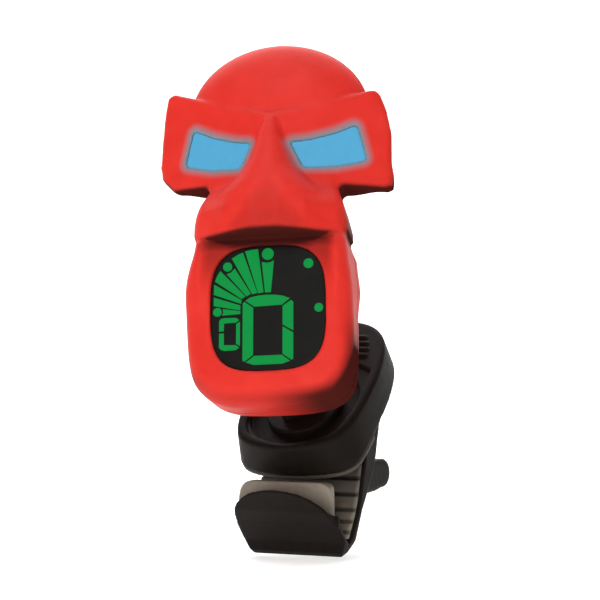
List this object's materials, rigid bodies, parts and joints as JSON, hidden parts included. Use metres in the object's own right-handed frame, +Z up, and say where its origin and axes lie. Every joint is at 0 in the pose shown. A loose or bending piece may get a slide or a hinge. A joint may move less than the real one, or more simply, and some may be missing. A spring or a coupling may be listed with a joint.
{
  "type": "clip-on tuner",
  "caption": "Clip-on instrument tuner with a skull-shaped head, lit eyes and a round-cornered display in its mouth, on a swivelling neck over a sprung padded clip.",
  "frame": {"origin": "the meeting point of the two jaws of the clip, on the clip's centre plane", "axes": "+X along the clip hinge, -Y out of the mouth of the clip, +Z up through the head"},
  "size_m": [0.0459, 0.052, 0.0999],
  "materials": {
    "red_shell": "soft-touch satin",
    "eye_blue": "translucent blue",
    "window_clear": "clear acrylic",
    "lcd_black": "black glass with green segments",
    "diffuser_white": "milky",
    "strip_rubber": "striped elastomer",
    "board_green": "solder resist",
    "chip_black": "epoxy",
    "brass_disc": "plated",
    "led_blue": "clear epoxy",
    "cell_steel": "stamped",
    "contact_steel": "plated",
    "button_red": "soft",
    "switch_grey": "moulded",
    "screw_steel": "zinc plated",
    "joint_black": "satin",
    "clip_black": "satin",
    "pad_grey": "matt",
    "spring_steel": "wire"
  },
  "bodies": {
    "lower_clip": {"lower_jaw": "clip_black", "lower_jaw_pad": "pad_grey", "spine_pad": "pad_grey", "hinge_pin": "screw_steel"},
    "upper_clip": {"upper_jaw": "clip_black", "upper_jaw_pad": "pad_grey", "torsion_spring": "spring_steel"},
    "hub": {"swivel_hub": "joint_black", "hub_washer": "screw_steel", "hub_screw": "screw_steel", "tilt_pin": "screw_steel"},
    "neck_link": {"neck": "joint_black"},
    "head": {"front_shell": "red_shell", "rear_shell": "red_shell", "eye_lens_left": "eye_blue", "eye_lens_right": "eye_blue", "display_window": "window_clear", "lcd_panel": "lcd_black", "light_diffuser": "diffuser_white", "contact_strip": "strip_rubber", "main_board": "board_green", "tuner_chip": "chip_black", "piezo_sensor": "brass_disc", "eye_board": "board_green", "eye_leds": "led_blue", "coin_cell": "cell_steel", "battery_contact_inner": "contact_steel", "battery_contact_side": "contact_steel", "power_switch": "switch_grey", "shell_screws": "screw_steel", "neck_retainer": "joint_black"},
    "button": {"power_button": "button_red"},
    "cap": {"battery_cap": "red_shell"}
  },
  "joints": [
    {"name": "clip_open", "type": "hinge", "parent": "lower_clip", "child": "upper_clip", "pos_m": [0, 0.01541, 0.01154], "axis": [-1, 0, 0], "range_deg": [0, 40], "stiffness_Nm_per_rad": 0.2, "springref_deg": -25.78, "deforming": ["torsion_spring"]},
    {"name": "hub_swivel", "type": "hinge", "parent": "upper_clip", "child": "hub", "pos_m": [0, 0.00681, 0.01533], "axis": [0, -0.6561, 0.7547], "continuous": true},
    {"name": "head_tilt", "type": "hinge", "parent": "hub", "child": "neck_link", "pos_m": [0, 0.00058, 0.0225], "axis": [0.9015, 0.3267, 0.284], "range_deg": [-48, 20]},
    {"name": "head_spin", "type": "hinge", "parent": "neck_link", "child": "head", "pos_m": [0, 0.00058, 0.0225], "axis": [0.2686, -0.9366, 0.225], "range_deg": [-60, 60]},
    {"name": "button_press", "type": "slide", "parent": "head", "child": "button", "axis": [0.9572, 0.2857, 0.0465], "range_m": [0, 0.0005], "stiffness_N_per_m": 600},
    {"name": "battery_cap_turn", "type": "hinge", "parent": "head", "child": "cap", "pos_m": [-0.0047, 0.00936, 0.06535], "axis": [0.2686, -0.9366, 0.225], "range_deg": [0, 35]}
  ]
}
